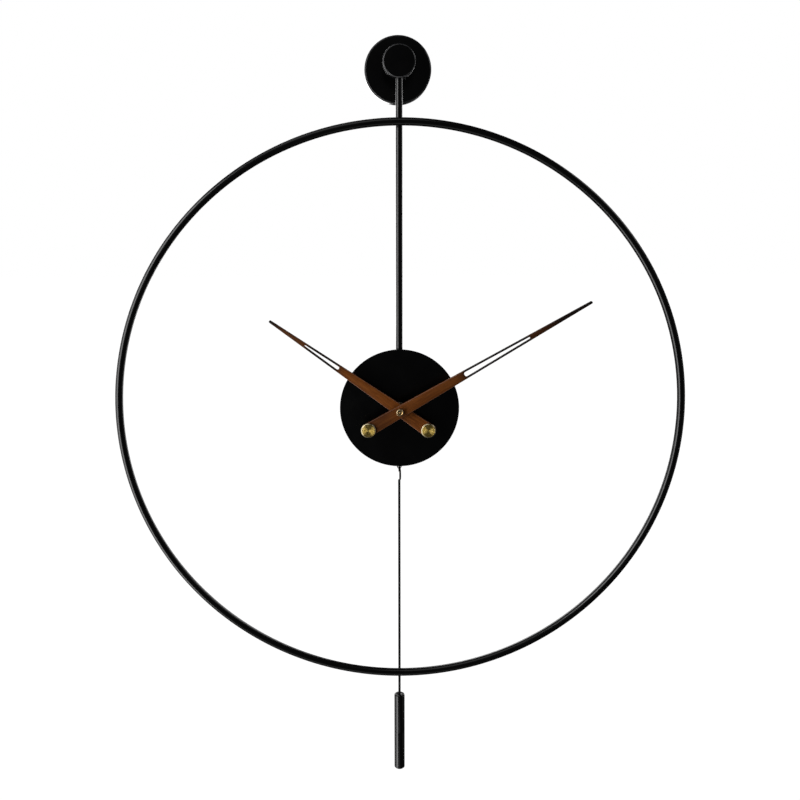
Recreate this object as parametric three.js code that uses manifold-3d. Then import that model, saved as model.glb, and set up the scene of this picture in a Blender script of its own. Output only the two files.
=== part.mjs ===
// Pendulum wall clock: an open steel ring on a hanger rod, a small dial disc with wooden hands,
// and a quartz pendulum movement behind the disc. Millimetres, +Z up, the front faces -Y.
// The origin is the centre of the wall plate's back face, so the wall is the plane Y = 0.
import * as THREE from 'three';
import { mergeVertices } from 'three/addons/utils/BufferGeometryUtils.js';
import Module from 'manifold-3d';

const wasm = await Module();
wasm.setup();

// ---------------------------------------------------------------- driving dimensions
const GAP = 0.3;                 // space kept between touching pieces

const RING_Y = -70;              // ring plane in front of the wall
const RING_Z = -355;             // ring centre below the peg's axis

const PLATE_R = 32.5, PLATE_T = 4, BOSS_R = 9, BOSS_T = 5;
const COVER_R = 35.4, COVER_T = 16, COVER_WALL = 1.5;
const COVER_HOLE_R = 4, COVER_Z = -1;      // the cover hangs on the peg's thread by its clearance hole
const SCREW_X = 21, SCREW_HOLE_R = 2.4;
const PEG_R = 5, PEG_THREAD_R = 2.7;

// everything below is in the clock frame's own axes: y = 0 is the ring plane, z = 0 the ring centre
const HUB_Z = -RING_Z, HUB_R = 16.5, HUB_FRONT = -1.45, HUB_BACK = 16.55;
const RING_R = 295.9, TUBE_R = 4.1;
const ROD_R = 3.5, ROD_Y = TUBE_R + GAP + ROD_R, ROD_LOW = 30;
const DISC_R = 63, DISC_FRONT = 2, DISC_BACK = 4;

const CASE_FRONT = 5.4, CASE_WALL = 1.2, CASE_REAR = 23.4, LID_T = 1.2;
const CASE_X = 28, CASE_TOP = 26, CASE_STEP = -32, TAIL_X = 18, CASE_LOW = -58.5;

const HOUR_BACK = -6, HOUR_FRONT = -9.5, HOUR_ANGLE = -54.8, HOUR_LEN = 164.9, HOUR_STUD_U = -36.6;
const MIN_BACK = -13, MIN_FRONT = -16.5, MIN_ANGLE = 59.88, MIN_LEN = 226.9, MIN_STUD_U = -38;
const STUD_R = 7.6, TAIL_U = -42.5;

const PEND_Y = 16, PIVOT_Z = -38;          // pendulum plane and its pivot
const PEND_ROD_R = 1.3, BOB_R = 5.75, BOB_TOP = -330.3, BOB_LOW = -419.2;
const HOOK_R = 1, HOOK_Z = -67.6;       // hook wire and the hole in the lever that it hangs from

const IDLER = [10.39, 6.0], SETTER = [22.39, 6.0];     // motion work, 12 mm centres
const THIRD = [-7.2, 8.58], FOURTH = [-16.78, 5.09];   // going train, 11.2 and 10.2 mm centres
const ROTOR = [-17, 18];

// ---------------------------------------------------------------- materials
const mat = (c, r, m) => ({ color: c, roughness: r, metalness: m });
const BLACK = mat(0x0b0b0c, 0.55, 0.4), STEEL = mat(0xa9abae, 0.3, 1), ABS = mat(0x151516, 0.5, 0);
const WALNUT = mat(0x5a3015, 0.5, 0), BRASS = mat(0xb59a52, 0.25, 1), RUBBER = mat(0x1c1c1c, 0.9, 0);
const POM = mat(0xe6e4da, 0.45, 0), COPPER = mat(0xb4622f, 0.35, 0.8), PCB = mat(0x1d5a35, 0.5, 0);
const CELL = mat(0x30363c, 0.4, 0.3), MAGNET = mat(0x5b5d60, 0.35, 0.9);

// ---------------------------------------------------------------- solids
const solid = (g) => {
  g = g.clone();
  g.deleteAttribute('normal'); g.deleteAttribute('uv');
  g = mergeVertices(g, 1e-4);
  return new wasm.Manifold(new wasm.Mesh({
    numProp: 3,
    vertProperties: new Float32Array(g.attributes.position.array),
    triVerts: new Uint32Array(g.index.array),
  }));
};
const geometry = (m) => {
  const k = m.getMesh(), g = new THREE.BufferGeometry();
  const p = new Float32Array(k.numVert * 3);
  for (let i = 0; i < k.numVert; i++) for (let j = 0; j < 3; j++) p[i * 3 + j] = k.vertProperties[i * k.numProp + j];
  g.setAttribute('position', new THREE.BufferAttribute(p, 3));
  g.setIndex(Array.from(k.triVerts));
  g.computeVertexNormals();
  return g;
};
const cut = (g, ...tools) => geometry(tools.reduce((m, t) => m.subtract(solid(t)), solid(g)));
const join = (g, ...more) => geometry(more.reduce((m, t) => m.add(solid(t)), solid(g)));

// closed profile [r, y] turned about the Y axis through (x, z)
const turned = (profile, seg = 24, x = 0, z = 0) => {
  const pts = profile.map(([r, y]) => new THREE.Vector2(r, y));
  if (profile[0][0] > 0 || profile[profile.length - 1][0] > 0) pts.push(pts[0].clone());
  let area = 0;
  for (let i = 0; i < pts.length - 1; i++) area += pts[i].x * pts[i + 1].y - pts[i + 1].x * pts[i].y;
  if (area < 0) pts.reverse();
  return new THREE.LatheGeometry(pts, seg).translate(x, 0, z);
};
const bar = (r, y0, y1, seg = 16, x = 0, z = 0) =>
  new THREE.CylinderGeometry(r, r, Math.abs(y1 - y0), seg).translate(x, (y0 + y1) / 2, z);
const tube = (r, ri, y0, y1, seg = 24, x = 0, z = 0) =>
  turned([[ri, Math.min(y0, y1)], [r, Math.min(y0, y1)], [r, Math.max(y0, y1)], [ri, Math.max(y0, y1)]], seg, x, z);
const upright = (r, z0, z1, seg = 16, x = 0, y = 0) =>
  new THREE.CylinderGeometry(r, r, Math.abs(z1 - z0), seg).rotateX(Math.PI / 2).translate(x, y, (z0 + z1) / 2);
const level = (r, x0, x1, seg = 16, y = 0, z = 0) =>
  new THREE.CylinderGeometry(r, r, Math.abs(x1 - x0), seg).rotateZ(Math.PI / 2).translate((x0 + x1) / 2, y, z);
const block = (x0, x1, y0, y1, z0, z1) =>
  new THREE.BoxGeometry(x1 - x0, y1 - y0, z1 - z0).translate((x0 + x1) / 2, (y0 + y1) / 2, (z0 + z1) / 2);
// outline in (x, z), from y0 to y1
const slab = (points, y0, y1, holes = []) => {
  const shape = Array.isArray(points) ? new THREE.Shape(points.map(([x, z]) => new THREE.Vector2(x, z))) : points;
  holes.forEach((h) => shape.holes.push(h));
  return new THREE.ExtrudeGeometry(shape, { depth: y1 - y0, bevelEnabled: false, curveSegments: 8 })
    .rotateX(Math.PI / 2).translate(0, y1, 0);
};
const circle = (r, seg = 16, x = 0, z = 0) => new THREE.Path(
  Array.from({ length: seg }, (_, i) => new THREE.Vector2(
    x + r * Math.cos((i + 0.5) / seg * 2 * Math.PI), z + r * Math.sin((i + 0.5) / seg * 2 * Math.PI))));
const wire = (points, r, seg = 8, steps = 24) => {
  const section = new THREE.Shape(Array.from({ length: seg }, (_, i) =>
    new THREE.Vector2(r * Math.cos(i / seg * 2 * Math.PI), r * Math.sin(i / seg * 2 * Math.PI))));
  const path = new THREE.CatmullRomCurve3(points.map((p) => new THREE.Vector3(...p)), false, 'centripetal');
  return new THREE.ExtrudeGeometry(section, { steps, bevelEnabled: false, extrudePath: path });
};

// ---------------------------------------------------------------- gears
// angles run from +X towards +Z; a gear's phase is the angle of one tooth's centre
const gear = (n, module, phase, y0, y1, [x, z], bore = 0) => {
  const pitchR = n * module / 2, out = pitchR + 0.6 * module, root = pitchR - 0.9 * module;
  const pitch = 2 * Math.PI / n, pts = [];
  for (let i = 0; i < n; i++) {
    const a = phase + i * pitch;
    for (const [r, f] of [[root, -0.27], [out, -0.13], [out, 0.13], [root, 0.27]])
      pts.push([x + r * Math.cos(a + f * pitch), z + r * Math.sin(a + f * pitch)]);
  }
  return slab(pts, y0, y1, bore ? [circle(bore, 16, x, z)] : []);
};
const meshed = (nA, phaseA, cA, nB, cB) => {
  const alpha = Math.atan2(cB[1] - cA[1], cB[0] - cA[0]);
  const u = (phaseA - alpha) * nA / (2 * Math.PI) + 0.5;
  return alpha + Math.PI - u * 2 * Math.PI / nB;
};

// ---------------------------------------------------------------- assembly
const clock = new THREE.Group();
const frame = new THREE.Group();
frame.position.set(0, RING_Y, RING_Z);
clock.add(frame);
const add = (parent, name, geo, m) => {
  const mesh = new THREE.Mesh(geo, new THREE.MeshStandardMaterial(m));
  mesh.name = name;
  parent.add(mesh);
  return mesh;
};

// ---- wall side
add(clock, 'wall_plate', cut(
  turned([[0, 0], [PLATE_R, 0], [PLATE_R, -PLATE_T], [BOSS_R, -PLATE_T], [BOSS_R, -PLATE_T - BOSS_T],
    [PEG_THREAD_R + GAP, -PLATE_T - BOSS_T], [PEG_THREAD_R + GAP, -1.5], [0, -1.5]], 40),
  ...[-1, 1].flatMap((s) => [bar(SCREW_HOLE_R, -PLATE_T - 1, 1, 16, s * SCREW_X, 0),
    new THREE.CylinderGeometry(SCREW_HOLE_R, SCREW_HOLE_R + 2.2, 2.2, 16)
      .rotateX(Math.PI).translate(s * SCREW_X, -PLATE_T + 1.1 - 0.2, 0)])), STEEL);
add(clock, 'wall_cover', turned([
  [COVER_HOLE_R, -COVER_T], [COVER_R - 1.5, -COVER_T], [COVER_R, -COVER_T + 1.3], [COVER_R, -0.5],
  [COVER_R - COVER_WALL, -0.5], [COVER_R - COVER_WALL, -COVER_T + COVER_WALL],
  [COVER_HOLE_R, -COVER_T + COVER_WALL]], 48, 0, COVER_Z), BLACK);
const PEG_TIP = RING_Y + HUB_BACK - 11;
add(clock, 'hanging_peg', turned([
  [0, -1.8], [PEG_THREAD_R, -1.8], [PEG_THREAD_R, -COVER_T - GAP], [8, -COVER_T - GAP], [8, -COVER_T - 2.3],
  [PEG_R, -COVER_T - 2.3], [PEG_R, PEG_TIP + 7], [PEG_R - 1, PEG_TIP + 7], [PEG_R - 1, PEG_TIP + 3.6],
  [PEG_R, PEG_TIP + 3.6], [PEG_R, PEG_TIP + 0.8], [PEG_R - 0.8, PEG_TIP], [0, PEG_TIP]], 24), STEEL);

// ---- hub, rod, ring, disc
const SCREW_Y = PEG_TIP + 5.3 - RING_Y;
add(frame, 'hub', cut(
  turned([[0, HUB_FRONT], [HUB_R - 1.2, HUB_FRONT], [HUB_R, HUB_FRONT + 1.2], [HUB_R, HUB_BACK - 0.8],
    [HUB_R - 0.8, HUB_BACK], [PEG_R + GAP, HUB_BACK], [PEG_R + GAP, HUB_BACK - 12], [0, HUB_BACK - 12]], 40, 0, HUB_Z),
  upright(ROD_R + GAP, HUB_Z - HUB_R - 2, HUB_Z - 10.5, 16, 0, ROD_Y),
  upright(2, HUB_Z + 2, HUB_Z + HUB_R + 2, 12, 0, SCREW_Y)), BLACK);
add(frame, 'hub_set_screw', cut(
  join(upright(1.7, HUB_Z + 6, HUB_Z + 14.8, 12, 0, SCREW_Y), upright(1.2, HUB_Z + 4.4, HUB_Z + 6.2, 12, 0, SCREW_Y)),
  new THREE.CylinderGeometry(1, 1, 4, 6).rotateX(Math.PI / 2).translate(0, SCREW_Y, HUB_Z + 14.6)), STEEL);
add(frame, 'hanger_rod', upright(ROD_R, ROD_LOW, HUB_Z - 10.8, 16, 0, ROD_Y), BLACK);
add(frame, 'ring', new THREE.TorusGeometry(RING_R, TUBE_R, 8, 80).rotateX(Math.PI / 2), BLACK);
add(frame, 'dial_disc', tube(DISC_R, 4.5, DISC_FRONT, DISC_BACK, 64), BLACK);

// ---- movement case
const caseOutline = (d) => [[-TAIL_X + d, CASE_LOW + d], [TAIL_X - d, CASE_LOW + d], [TAIL_X - d, CASE_STEP + d],
  [CASE_X - d, CASE_STEP + d], [CASE_X - d, CASE_TOP - 3], [CASE_X - 3, CASE_TOP - d], [-CASE_X + 3, CASE_TOP - d],
  [-CASE_X + d, CASE_TOP - 3], [-CASE_X + d, CASE_STEP + d], [-TAIL_X + d, CASE_STEP + d]];
const FLOOR = CASE_FRONT + CASE_WALL;
add(frame, 'movement_case', cut(slab(caseOutline(0), CASE_FRONT, CASE_REAR),
  slab([[-CASE_X + 1.2, -13.8], [CASE_X - 1.2, -13.8], [CASE_X - 1.2, CASE_TOP - 3.6], [CASE_X - 3.6, CASE_TOP - 1.2],
    [-CASE_X + 3.6, CASE_TOP - 1.2], [-CASE_X + 1.2, CASE_TOP - 3.6]], FLOOR, CASE_REAR + 1),
  block(-CASE_X + 1.2, CASE_X - 1.2, FLOOR, CASE_REAR + 1, -30.6, -15),
  block(-TAIL_X + 1.2, TAIL_X - 1.2, FLOOR, CASE_REAR + 1, CASE_LOW + 1.2, -31.8),
  bar(4.2, CASE_FRONT - 1, FLOOR + 1, 24),
  block(-8, 8, 13, 19, CASE_LOW - 1, CASE_LOW + 2)), ABS);
add(frame, 'movement_lid', cut(slab(caseOutline(0), CASE_REAR + GAP, CASE_REAR + GAP + LID_T),
  block(-25.5, 25.5, CASE_REAR, CASE_REAR + 3, -30, -15.6),
  bar(1.5, CASE_REAR, CASE_REAR + 3, 16, ...SETTER)), ABS);
add(frame, 'battery', geometry(solid(level(7.1, -24.2, 23.8, 24, 15.5, -22.8))
  .add(solid(level(2.6, 23, 25.1, 16, 15.5, -22.8)))), CELL);
add(frame, 'battery_contact_positive', join(block(25.9, 26.4, 9, 22, -28.5, -17), block(25.4, 26, 13.5, 17.5, -25, -20.6)), STEEL);
add(frame, 'battery_contact_negative', join(block(-26.5, -26, 9, 22, -28.5, -17),
  new THREE.CylinderGeometry(3.6, 5, 1.6, 16).rotateZ(-Math.PI / 2).translate(-25.3, 15.5, -22.8)), STEEL);
add(frame, 'circuit_board', slab([[-20, -12.5], [18, -12.5], [18, 9], [8, 12.5], [-20, 12.5]], 20.8, 22, [circle(1.4, 12)]), PCB);

// ---- motion work and going train
const P_CANNON = 0, P_IDLER = meshed(10, P_CANNON, [0, 0], 30, IDLER);
const P_SETTER = meshed(30, P_IDLER, IDLER, 10, SETTER);
const P_PINION = 0.2, P_HOUR = meshed(8, P_PINION, IDLER, 32, [0, 0]);
const P_CENTRE = 0.05, P_THIRD_PINION = meshed(42, P_CENTRE, [0, 0], 7, THIRD);
const P_THIRD = 0.03, P_FOURTH_PINION = meshed(45, P_THIRD, THIRD, 6, FOURTH);
const M_MOTION = 0.6, M_THIRD = 22.4 / 49, M_FOURTH = 0.4;      // gear modules

add(frame, 'centre_bushing', turned([[2.9, -3.6], [3.9, -3.6], [3.9, 6.9], [5.6, 6.9], [5.6, 7.7], [2.9, 7.7]], 24), BRASS);
add(frame, 'rubber_gasket', tube(9.5, 4.25, DISC_BACK + GAP, CASE_FRONT - GAP, 24), RUBBER);
add(frame, 'fixing_washer', tube(7, 4.25, 0.9, DISC_FRONT - GAP, 24), STEEL);
add(frame, 'fixing_nut', cut(
  new THREE.CylinderGeometry(7.35, 7.35, 3.4, 6).translate(0, 0.6 - 1.7, 0),
  bar(4.2, -5, 2, 24)), BRASS);
add(frame, 'hour_wheel', join(gear(32, M_MOTION, P_HOUR, 8.2, 9.2, [0, 0], 1.8), tube(2.6, 1.8, -9.3, 8.6, 16)), POM);
add(frame, 'minute_arbor', join(
  turned([[0, -18.9], [1.15, -18.9], [1.15, -16.6], [1.5, -16.6], [1.5, 13.6], [0.7, 13.6], [0.7, 20.4], [0, 20.4]], 16),
  gear(10, M_MOTION, P_CANNON, 9.7, 10.9, [0, 0]), gear(42, M_THIRD, P_CENTRE, 11.3, 12.2, [0, 0])), POM);
add(frame, 'motion_work_wheel', join(gear(30, M_MOTION, P_IDLER, 9.8, 10.8, IDLER), gear(8, M_MOTION, P_PINION, 8.0, 10, IDLER),
  bar(0.8, 6.9, 20.4, 12, ...IDLER)), POM);
add(frame, 'third_wheel', join(gear(45, M_FOURTH, P_THIRD, 12.9, 13.7, THIRD), gear(7, M_THIRD, P_THIRD_PINION, 11.1, 13.2, THIRD),
  bar(0.6, 6.9, 20.4, 12, ...THIRD)), POM);
add(frame, 'fourth_wheel', join(gear(40, 0.375, 0, 14.4, 15.2, FOURTH), gear(6, M_FOURTH, P_FOURTH_PINION, 12.7, 14.6, FOURTH),
  bar(0.5, 6.9, 20.4, 12, ...FOURTH)), POM);
add(frame, 'setting_knob', join(gear(10, M_MOTION, P_SETTER, 9.7, 11.1, SETTER), bar(1.1, 8, 26, 12, ...SETTER),
  bar(5, CASE_REAR + LID_T + 2 * GAP, 28.6, 20, ...SETTER)), POM);
add(frame, 'rotor', join(bar(2.5, 17, 20, 16, ...ROTOR), bar(0.5, 6.9, 23.2, 10, ...ROTOR)), MAGNET);
add(frame, 'stator', slab([[-24, 14.5], [-12.5, 14.5], [-10.5, 16.8], [22, 16.8], [22, 20.2], [-10.5, 20.2], [-12.5, 22.5], [-24, 22.5]],
  18, 19, [circle(3, 16, ...ROTOR)]), STEEL);
add(frame, 'drive_coil', cut(level(3.6, -9.5, 16, 16, 18.5, 18.5), block(-11, 18, 17.6, 19.4, 16.4, 20.6)), COPPER);

// ---- hands
const outline = (u0, u1, w0, w1) => {
  const half = (u) => (w0 + (w1 - w0) * (u - u0) / (u1 - u0)) / 2;
  const s = new THREE.Shape(), c = 3, h0 = half(u0), hc = half(u0 + c);
  s.moveTo(-h0 + c, u0); s.lineTo(h0 - c, u0); s.lineTo(hc, u0 + c); s.lineTo(half(u1 - 0.8), u1 - 0.8);
  s.lineTo(half(u1) - 0.7, u1); s.lineTo(-half(u1) + 0.7, u1); s.lineTo(-half(u1 - 0.8), u1 - 0.8); s.lineTo(-hc, u0 + c);
  s.closePath();
  return [s, half];
};
const slot = (half, a, b, rail) => {
  const p = [], ra = half(a) - rail, rb = half(b) - rail;
  for (let i = 0; i <= 6; i++) p.push(new THREE.Vector2(-ra * Math.cos(i / 6 * Math.PI), a + ra - ra * Math.sin(i / 6 * Math.PI)));
  for (let i = 0; i <= 6; i++) p.push(new THREE.Vector2(rb * Math.cos(i / 6 * Math.PI), b - rb + rb * Math.sin(i / 6 * Math.PI)));
  return new THREE.Path(p);
};
// built pointing up, then turned clockwise to the time shown
const hand = (parent, name, angle, yb, yf, len, w0, w1, slotEnds, rail, bore, studU) => {
  const [s, half] = outline(TAIL_U, len, w0, w1);
  const g = slab(s, yf, yb, [slot(half, ...slotEnds, rail), circle(bore, 24), circle(2.3, 16, 0, studU)]);
  const mesh = add(parent, name, g, WALNUT);
  mesh.rotation.y = THREE.MathUtils.degToRad(angle);
  return mesh;
};
const turnedTo = (mesh, angle) => { mesh.rotation.y = THREE.MathUtils.degToRad(angle); return mesh; };
const stud = (yf, u) => turned([[0, yf - GAP], [STUD_R, yf - GAP], [STUD_R, yf - GAP - 1.5], [STUD_R - 0.5, yf - GAP - 2], [0, yf - GAP - 2]]
  .reverse(), 32, 0, u);
const stem = (yb, yf, u) => bar(2, yb, yf - GAP - 0.5, 12, 0, u);

hand(frame, 'hour_hand', HOUR_ANGLE, HOUR_BACK, HOUR_FRONT, HOUR_LEN, 14.8, 2.6, [77.4, 120.4], 2, 4.5, HOUR_STUD_U);
turnedTo(add(frame, 'hour_hand_collet', turned([[2.9, -5.1], [6, -5.1], [6, -5.7], [4.2, -5.7], [4.2, -9.3], [2.9, -9.3]], 20), BRASS), HOUR_ANGLE);
turnedTo(add(frame, 'hour_hand_stud', join(stud(HOUR_FRONT, HOUR_STUD_U), stem(HOUR_BACK, HOUR_FRONT, HOUR_STUD_U)), BRASS), HOUR_ANGLE);
hand(frame, 'minute_hand', MIN_ANGLE, MIN_BACK, MIN_FRONT, MIN_LEN, 14.2, 2.6, [77.2, 154.3], 1.8, 3.7, MIN_STUD_U);
turnedTo(add(frame, 'minute_hand_collet', turned([[1.8, -12.1], [5.4, -12.1], [5.4, -12.7], [3.4, -12.7], [3.4, -16.3], [1.8, -16.3]], 20), BRASS), MIN_ANGLE);
turnedTo(add(frame, 'minute_hand_stud', join(stud(MIN_FRONT, MIN_STUD_U), stem(MIN_BACK, MIN_FRONT, MIN_STUD_U)), BRASS), MIN_ANGLE);
add(frame, 'cap_nut', turned([[0, -19.3], [1.45, -19.3], [1.45, -16.8], [3.75, -16.8], [3.75, -19.9], [3.3, -20.3], [1.8, -20.3],
  [1.8, -19.8], [0, -19.8]], 24), BRASS);

// ---- pendulum
add(frame, 'pendulum_pivot_pin', bar(1, FLOOR + GAP, CASE_REAR, 12, 0, PIVOT_Z), STEEL);
add(frame, 'pendulum_lever', cut(
  join(slab([[-3, PIVOT_Z], [-2.7, -56], [-3, -66], [-2.5, -68.2], [-1.1, -69.9], [1.1, -69.9], [2.5, -68.2], [3, -66], [2.7, -56], [3, PIVOT_Z]].reverse(),
    PEND_Y - 0.5, PEND_Y + 0.5), bar(3, PEND_Y - 2.5, PEND_Y + 2.5, 16, 0, PIVOT_Z)),
  bar(1.3, 0, 30, 16, 0, PIVOT_Z), bar(HOOK_R + 0.35, 0, 30, 12, 0, HOOK_Z)), ABS);
add(frame, 'pendulum_magnet', bar(3.6, PEND_Y - 3.4, PEND_Y - 0.8, 20, 0, -50), MAGNET);
add(frame, 'pendulum_coil', tube(6.6, 2.4, 17.4, 22.6, 24, 0, -50), COPPER);
add(frame, 'pendulum_hook', wire([[0, 13.2, -71.2], [0, 13.1, -69.6], [0, 13.6, -68.2], [0, 14.9, HOOK_Z], [0, 16, HOOK_Z], [0, 17.4, HOOK_Z],
  [0.1, 18.7, -68.3], [0.5, 19.1, -69.8], [0.9, 18.6, -72], [1, 17.4, -74.6], [1, 16.3, -77], [1, 16, -79.2], [0.9, 16, -81.6]], HOOK_R, 6, 26), STEEL);
add(frame, 'pendulum_rod', upright(PEND_ROD_R, BOB_TOP - 6, -81.9, 12, 0, PEND_Y), BLACK);
add(frame, 'pendulum_bob', cut(
  turned([[0, 0], [BOB_R - 1, 0], [BOB_R, 1], [BOB_R, BOB_TOP - BOB_LOW - 1], [BOB_R - 1, BOB_TOP - BOB_LOW], [0, BOB_TOP - BOB_LOW]], 24)
    .rotateX(Math.PI / 2).translate(0, PEND_Y, BOB_LOW),
  upright(PEND_ROD_R + GAP, BOB_TOP - 6.3, BOB_TOP + 1, 12, 0, PEND_Y)), BLACK);

export default clock;
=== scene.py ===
import math
import random
import bmesh
import bpy
from mathutils import Matrix, Vector


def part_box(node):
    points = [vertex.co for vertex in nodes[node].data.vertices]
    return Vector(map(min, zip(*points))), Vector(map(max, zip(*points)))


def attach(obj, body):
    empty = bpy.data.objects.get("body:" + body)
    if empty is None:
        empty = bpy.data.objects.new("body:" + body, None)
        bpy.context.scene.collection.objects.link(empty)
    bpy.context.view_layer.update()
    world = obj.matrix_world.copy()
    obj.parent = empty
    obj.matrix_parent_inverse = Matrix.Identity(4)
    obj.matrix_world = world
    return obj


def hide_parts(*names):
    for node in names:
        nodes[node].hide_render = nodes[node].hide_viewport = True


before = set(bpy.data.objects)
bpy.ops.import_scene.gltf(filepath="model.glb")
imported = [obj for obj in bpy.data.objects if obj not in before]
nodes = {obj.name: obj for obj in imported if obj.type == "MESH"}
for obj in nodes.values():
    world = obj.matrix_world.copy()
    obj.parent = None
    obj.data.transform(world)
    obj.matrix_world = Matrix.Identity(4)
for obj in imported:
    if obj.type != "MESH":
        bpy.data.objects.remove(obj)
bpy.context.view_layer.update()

scene = bpy.context.scene
MM = 0.001
PI = math.pi

# the ring's centre is the clock frame's own origin
_lo, _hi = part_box("ring")
O = Vector([(a + b) / 2 for a, b in zip(_lo, _hi)])
FRAME = "clock_frame"


# ------------------------------------------------------------------ node helpers
def new_material(name):
    m = bpy.data.materials.new(name)
    m.use_nodes = True
    nt = m.node_tree
    bsdf = nt.nodes["Principled BSDF"]
    return m, nt, bsdf


def node(nt, kind, **values):
    n = nt.nodes.new(kind)
    for k, v in values.items():
        if hasattr(n, k):
            setattr(n, k, v)
        else:
            n.inputs[k].default_value = v
    return n


def link(nt, a, out, b, inp):
    nt.links.new(a.outputs[out], b.inputs[inp])


def coords(nt, scale=(1, 1, 1), output="Object"):
    t = nt.nodes.new("ShaderNodeTexCoord")
    mp = nt.nodes.new("ShaderNodeMapping")
    mp.inputs["Scale"].default_value = scale
    link(nt, t, output, mp, "Vector")
    return mp


def noise(nt, src, scale, detail=3.0, rough=0.5, distortion=0.0):
    n = nt.nodes.new("ShaderNodeTexNoise")
    n.inputs["Scale"].default_value = scale
    n.inputs["Detail"].default_value = detail
    n.inputs["Roughness"].default_value = rough
    n.inputs["Distortion"].default_value = distortion
    link(nt, src, "Vector", n, "Vector")
    return n


def ramp(nt, src, out, stops, interpolation="LINEAR"):
    r = nt.nodes.new("ShaderNodeValToRGB")
    cr = r.color_ramp
    cr.interpolation = interpolation
    while len(cr.elements) < len(stops):
        cr.elements.new(0.5)
    for e, (p, c) in zip(cr.elements, stops):
        e.position = p
        e.color = c if len(c) == 4 else (*c, 1)
    link(nt, src, out, r, "Fac")
    return r


def grey(v):
    return (v, v, v, 1)


def to_range(nt, src, out, a, b, c, d):
    m = nt.nodes.new("ShaderNodeMapRange")
    m.inputs["From Min"].default_value = a
    m.inputs["From Max"].default_value = b
    m.inputs["To Min"].default_value = c
    m.inputs["To Max"].default_value = d
    link(nt, src, out, m, "Value")
    return m


def bump(nt, bsdf, src, out, strength, distance, under=None):
    b = nt.nodes.new("ShaderNodeBump")
    b.inputs["Strength"].default_value = strength
    b.inputs["Distance"].default_value = distance
    link(nt, src, out, b, "Height")
    if under is not None:
        link(nt, under, "Normal", b, "Normal")
    nt.links.new(b.outputs["Normal"], bsdf.inputs["Normal"])
    return b


def mix_color(nt, fac, fac_out, a, b, blend="MIX"):
    """a and b are (node, output) or colours"""
    m = nt.nodes.new("ShaderNodeMix")
    m.data_type = "RGBA"
    m.blend_type = blend
    if isinstance(fac, (int, float)):
        m.inputs[0].default_value = fac
    else:
        link(nt, fac, fac_out, m, 0)
    for v, i in ((a, 6), (b, 7)):
        if isinstance(v, tuple) and hasattr(v[0], "outputs"):
            nt.links.new(v[0].outputs[v[1]], m.inputs[i])
        else:
            m.inputs[i].default_value = v if len(v) == 4 else (*v, 1)
    return m


# ------------------------------------------------------------------ materials
def edge_mask(nt, lo=0.30, a=0.52, b=0.90, hi=0.985):
    """1 on a piece's own bevels about its local Z, 0 on its flat faces and on its sides"""
    t = nt.nodes.new("ShaderNodeTexCoord")
    sep = nt.nodes.new("ShaderNodeSeparateXYZ")
    link(nt, t, "Normal", sep, "Vector")
    ab = node(nt, "ShaderNodeMath", operation="ABSOLUTE")
    link(nt, sep, "Z", ab, 0)
    return ramp(nt, ab, 0, [(lo, grey(0)), (a, grey(1)), (b, grey(1)), (hi, grey(0))])


def powder(name, lo, hi, rough=(0.24, 0.30), grain=1100, depth=0.00002, spec=0.5, edge=None):
    """fine powder coat: slight orange peel and tone variation; where an edge colour is given, the bevels are painted
    paler as a painted highlight, broken up by noise
    """
    m, nt, b = new_material(name)
    c = coords(nt)
    fine = noise(nt, c, grain, 2.0, 0.55)
    broad = noise(nt, c, 45, 3.0, 0.6)
    col = ramp(nt, broad, "Fac", [(0.3, lo), (0.7, hi)])
    out = (col, "Color")
    if edge is not None:
        # painted highlight: the bevels are lit up in the colour itself, patchy by noise, standing in for light caught
        # on the edges
        edge_highlight_breakup = ramp(nt, noise(nt, coords(nt), 260, 3.0, 0.6), "Fac", [(0.30, grey(0.55)), (0.62, grey(1.0))])
        k = node(nt, "ShaderNodeMath", operation="MULTIPLY")
        link(nt, edge_mask(nt), "Color", k, 0)
        link(nt, edge_highlight_breakup, "Color", k, 1)
        mixed = mix_color(nt, k, 0, out, edge)
        out = (mixed, 2)
    nt.links.new(out[0].outputs[out[1]], b.inputs["Base Color"])
    r = to_range(nt, broad, "Fac", 0.3, 0.7, *rough)
    nt.links.new(r.outputs["Result"], b.inputs["Roughness"])
    bump(nt, b, fine, "Fac", 0.3, depth)
    b.inputs["Metallic"].default_value = 0.0
    b.inputs["Specular IOR Level"].default_value = spec
    return m


def plastic(name, lo, hi, rough, grain, depth, spec=0.5, sss=0.0):
    m, nt, b = new_material(name)
    c = coords(nt)
    fine = noise(nt, c, grain, 2.0, 0.6)
    broad = noise(nt, c, 120, 2.0, 0.5)
    col = ramp(nt, broad, "Fac", [(0.3, lo), (0.72, hi)])
    nt.links.new(col.outputs["Color"], b.inputs["Base Color"])
    r = to_range(nt, fine, "Fac", 0.2, 0.8, *rough)
    nt.links.new(r.outputs["Result"], b.inputs["Roughness"])
    bump(nt, b, fine, "Fac", 0.3, depth)
    b.inputs["Specular IOR Level"].default_value = spec
    if sss:
        b.inputs["Subsurface Weight"].default_value = sss
        b.inputs["Subsurface Radius"].default_value = (0.002, 0.002, 0.0018)
        b.inputs["Subsurface Scale"].default_value = 0.5
    return m


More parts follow.
